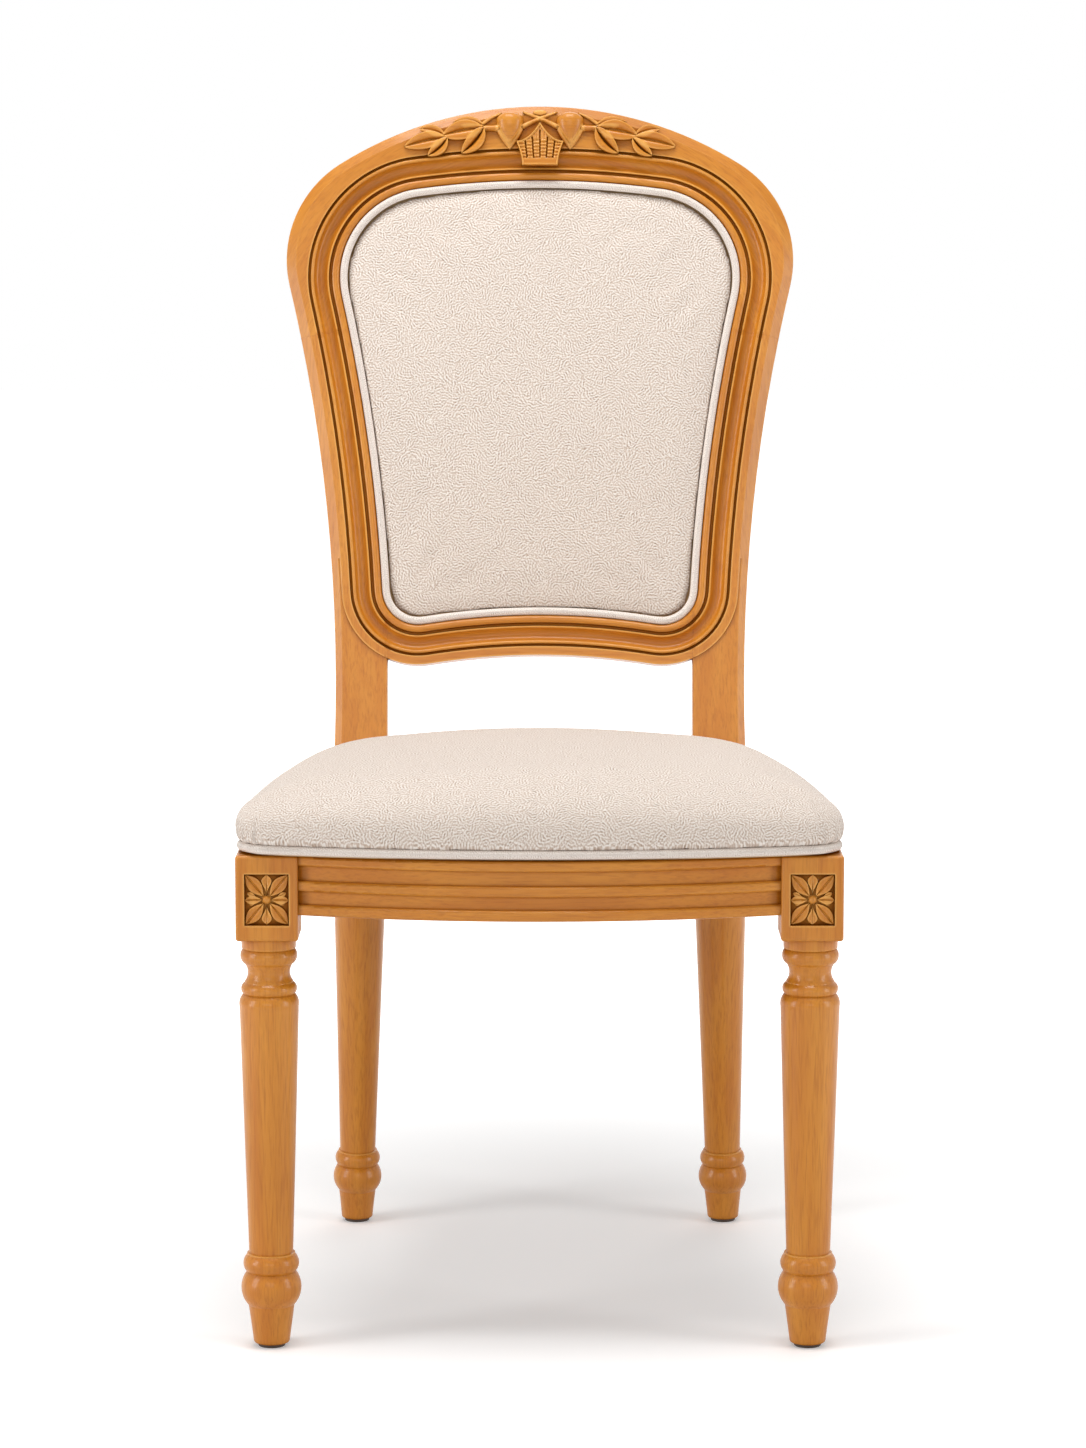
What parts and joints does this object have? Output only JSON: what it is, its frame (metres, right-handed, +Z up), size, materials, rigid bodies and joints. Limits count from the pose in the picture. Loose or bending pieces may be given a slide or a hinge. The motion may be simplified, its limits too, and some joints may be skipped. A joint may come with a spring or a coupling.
{
  "type": "upholstered dining chair",
  "caption": "Dining chair with an arched moulded back, carved crest, padded back panel and seat, reeded seat rails and turned tapering legs; holds one seated person.",
  "frame": {"origin": "on the floor, under the middle of the chair's bounding box", "axes": "+X to the right of somebody who faces the chair, +Y to the rear, +Z up"},
  "size_m": [0.4848, 0.5647, 0.9985],
  "materials": {
    "frame_finish": "satin",
    "bare_wood": "matte",
    "plywood": "matte",
    "linen": "matte",
    "welt_cloth": "matte",
    "foam": "matte",
    "screw_steel": "satin",
    "glide_plastic": "matte",
    "dust_cloth": "matte"
  },
  "bodies": {
    "root": {"front_left_leg": "frame_finish", "front_right_leg": "frame_finish", "rear_left_leg": "frame_finish", "rear_right_leg": "frame_finish", "crest_rail": "frame_finish", "lower_back_rail": "frame_finish", "front_seat_rail": "frame_finish", "left_seat_rail": "frame_finish", "right_seat_rail": "frame_finish", "rear_seat_rail": "frame_finish", "left_rosette": "frame_finish", "right_rosette": "frame_finish", "crest_basket": "frame_finish", "crest_garland": "frame_finish", "front_left_corner_block": "bare_wood", "front_right_corner_block": "bare_wood", "rear_left_corner_block": "bare_wood", "rear_right_corner_block": "bare_wood", "seat_rail_dowels": "bare_wood", "back_dowels": "bare_wood", "seat_board": "plywood", "back_board": "plywood", "seat_cover": "linen", "back_cover": "linen", "back_rear_cover": "linen", "seat_welt": "welt_cloth", "back_welt": "welt_cloth", "seat_foam": "foam", "back_foam": "foam", "corner_block_screws": "screw_steel", "seat_screws": "screw_steel", "back_board_screws": "screw_steel", "front_left_glide": "glide_plastic", "front_right_glide": "glide_plastic", "rear_left_glide": "glide_plastic", "rear_right_glide": "glide_plastic", "seat_dust_cover": "dust_cloth"}
  },
  "joints": []
}
